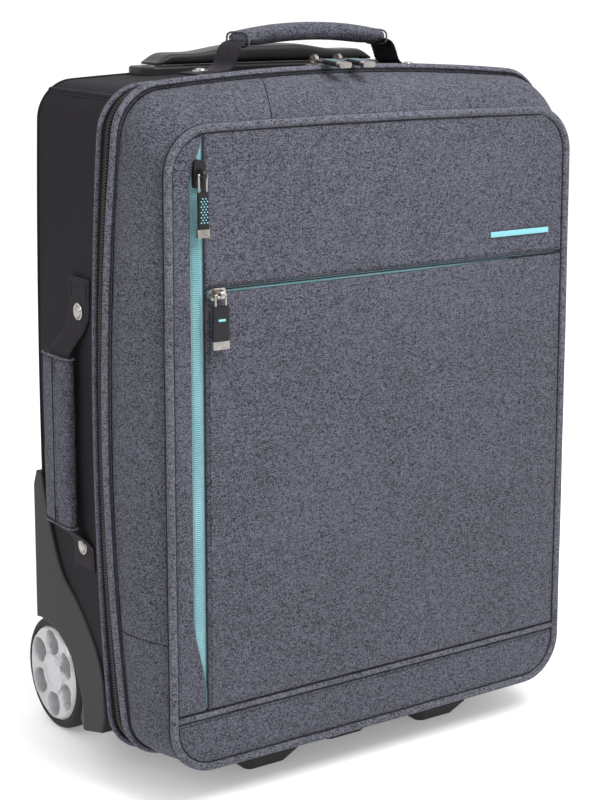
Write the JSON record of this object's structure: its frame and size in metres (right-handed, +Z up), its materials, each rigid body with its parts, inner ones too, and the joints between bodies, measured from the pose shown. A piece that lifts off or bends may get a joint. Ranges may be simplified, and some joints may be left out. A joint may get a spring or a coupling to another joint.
{
  "type": "rolling laptop case",
  "caption": "Upright two-wheeled fabric laptop trolley with a zipped lid, pockets, carrying handles and a telescopic pull handle.",
  "frame": {"origin": "on the floor, under the middle of the case's bounding box", "axes": "+Z up, -Y towards the front face with the pockets, +X to the right of somebody facing that front, parallel to the wheel axles"},
  "size_m": [0.4291, 0.2614, 0.575],
  "materials": {
    "heather_fabric": "heather twill",
    "heather_piping": "corded piping in the heather cloth",
    "black_fabric": "plain nylon weave",
    "black_zip": "zip tape with coil teeth",
    "mint_zip": "mint reverse-coil zip",
    "lining_fabric": "thin polyester",
    "sleeve_fabric": "padded fleece",
    "black_webbing": "ribbed webbing",
    "handle_cloth": "padded heather sleeve",
    "board": "ribbed sheet",
    "guard_plastic": "fine moulded grain",
    "black_plastic": "satin moulded",
    "foot_plastic": "moulded, scuffed",
    "silver_hub": "silver paint",
    "tyre": "smooth tread",
    "tube_alu": "satin anodised",
    "steel": "zinc plated",
    "nickel": "antique nickel",
    "rubber_pull": "moulded"
  },
  "bodies": {
    "case": {"rear_shell": "black_fabric", "compartment_lining": "lining_fabric", "rear_piping": "heather_piping", "rear_zip_tape": "black_zip", "hinge_gusset": "black_fabric", "back_board": "board", "handle_tray": "board", "laptop_sleeve": "sleeve_fabric", "base_moulding": "guard_plastic", "wheel_guard_left": "guard_plastic", "wheel_guard_right": "guard_plastic", "case_screws": "steel", "axles": "steel", "outer_tubes": "tube_alu", "handle_bezel": "black_plastic", "webbing_ends": "black_webbing", "handle_rivets": "nickel"},
    "lid": {"lid_shell": "heather_fabric", "lid_lining": "lining_fabric", "lid_piping": "heather_piping", "face_piping": "heather_piping", "lid_zip_tape": "black_zip", "pocket_edge_panel": "heather_fabric", "upper_pocket_panel": "heather_fabric", "lower_pocket_panel": "heather_fabric", "bottom_band": "heather_fabric", "pocket_zips": "mint_zip", "front_feet": "foot_plastic", "foot_screws": "steel"},
    "wheel_left": {"tyre_left": "tyre", "hub_left": "silver_hub", "hub_cap_left": "silver_hub", "bearings_left": "steel"},
    "wheel_right": {"tyre_right": "tyre", "hub_right": "silver_hub", "hub_cap_right": "silver_hub", "bearings_right": "steel"},
    "middle_stage": {"middle_tubes": "tube_alu"},
    "grip_stage": {"inner_tubes": "tube_alu", "handle_grip": "black_plastic", "button_springs": "steel"},
    "button": {"release_button": "black_plastic", "release_bar": "steel"},
    "pin_left": {"lock_pin_left": "steel"},
    "pin_right": {"lock_pin_right": "steel"},
    "slider_left": {"main_slider_left": "nickel"},
    "slider_right": {"main_slider_right": "nickel"},
    "pull_left": {"main_pull_metal_left": "nickel", "main_pull_grip_left": "rubber_pull"},
    "pull_right": {"main_pull_metal_right": "nickel", "main_pull_grip_right": "rubber_pull"},
    "side_slider": {"side_zip_slider": "black_plastic"},
    "side_pull": {"side_pull_metal": "nickel", "side_pull_grip": "rubber_pull"},
    "front_slider": {"front_zip_slider": "nickel"},
    "front_pull": {"front_pull_metal": "nickel", "front_pull_grip": "rubber_pull"},
    "top_handle": {"top_handle_sleeve": "handle_cloth", "top_handle_webbing": "black_webbing"},
    "side_handle": {"side_handle_sleeve": "handle_cloth"}
  },
  "joints": [
    {"name": "lid_open", "type": "hinge", "parent": "case", "child": "lid", "pos_m": [0.2134, -0.0555, 0.28], "axis": [0, 0, 1], "range_deg": [0, 170]},
    {"name": "wheel_left_spin", "type": "hinge", "parent": "case", "child": "wheel_left", "pos_m": [-0.17, 0.0825, 0.0466], "axis": [1, 0, 0], "continuous": true},
    {"name": "wheel_right_spin", "type": "hinge", "parent": "case", "child": "wheel_right", "pos_m": [0.17, 0.0825, 0.0466], "axis": [1, 0, 0], "continuous": true},
    {"name": "handle_middle_slide", "type": "slide", "parent": "case", "child": "middle_stage", "axis": [0, 0, 1], "range_m": [0, 0.235]},
    {"name": "handle_grip_slide", "type": "slide", "parent": "middle_stage", "child": "grip_stage", "axis": [0, 0, 1], "range_m": [0, 0.235]},
    {"name": "button_press", "type": "slide", "parent": "grip_stage", "child": "button", "axis": [0, 0, -1], "range_m": [0, 0.0036], "stiffness_N_per_m": 600, "springref_m": -0.002, "deforming": ["button_springs"]},
    {"name": "pin_left_slide", "type": "slide", "parent": "grip_stage", "child": "pin_left", "axis": [1, 0, 0], "range_m": [0, 0.0028]},
    {"name": "pin_right_slide", "type": "slide", "parent": "grip_stage", "child": "pin_right", "axis": [-1, 0, 0], "range_m": [0, 0.0028]},
    {"name": "slider_left_travel", "type": "slide", "parent": "case", "child": "slider_left", "axis": [-0.9992, 0, -0.039], "range_m": [0, 0.13]},
    {"name": "pull_left_swing", "type": "hinge", "parent": "slider_left", "child": "pull_left", "pos_m": [-0.017, -0.056, 0.5479], "axis": [-1, 0, 0], "range_deg": [0, 100]},
    {"name": "slider_right_travel", "type": "slide", "parent": "case", "child": "slider_right", "axis": [0.9994, 0, -0.0333], "range_m": [0, 0.13]},
    {"name": "pull_right_swing", "type": "hinge", "parent": "slider_right", "child": "pull_right", "pos_m": [0.005, -0.056, 0.5479], "axis": [-1, 0, 0], "range_deg": [0, 100]},
    {"name": "side_zip_travel", "type": "slide", "parent": "lid", "child": "side_slider", "axis": [0, 0, -1], "range_m": [0, 0.36]},
    {"name": "side_pull_swing", "type": "hinge", "parent": "side_slider", "child": "side_pull", "pos_m": [-0.1613, -0.1268, 0.474], "axis": [-1, 0, 0], "range_deg": [0, 150]},
    {"name": "front_zip_travel", "type": "slide", "parent": "lid", "child": "front_slider", "axis": [1, 0, 0], "range_m": [0, 0.262]},
    {"name": "front_pull_swing", "type": "hinge", "parent": "front_slider", "child": "front_pull", "pos_m": [-0.1486, -0.1288, 0.3884], "axis": [-1, 0, 0], "range_deg": [0, 150]},
    {"name": "top_handle_tilt", "type": "hinge", "parent": "case", "child": "top_handle", "pos_m": [0, -0.023, 0.54], "axis": [1, 0, 0], "range_deg": [-32, 34]},
    {"name": "side_handle_pull", "type": "slide", "parent": "case", "child": "side_handle", "axis": [-1, 0, 0], "range_m": [0, 0.022]}
  ],
  "couplings": [
    {"joint": "pin_left_slide", "follows": "button_press", "ratio": 0.7},
    {"joint": "pin_right_slide", "follows": "button_press", "ratio": 0.7}
  ]
}
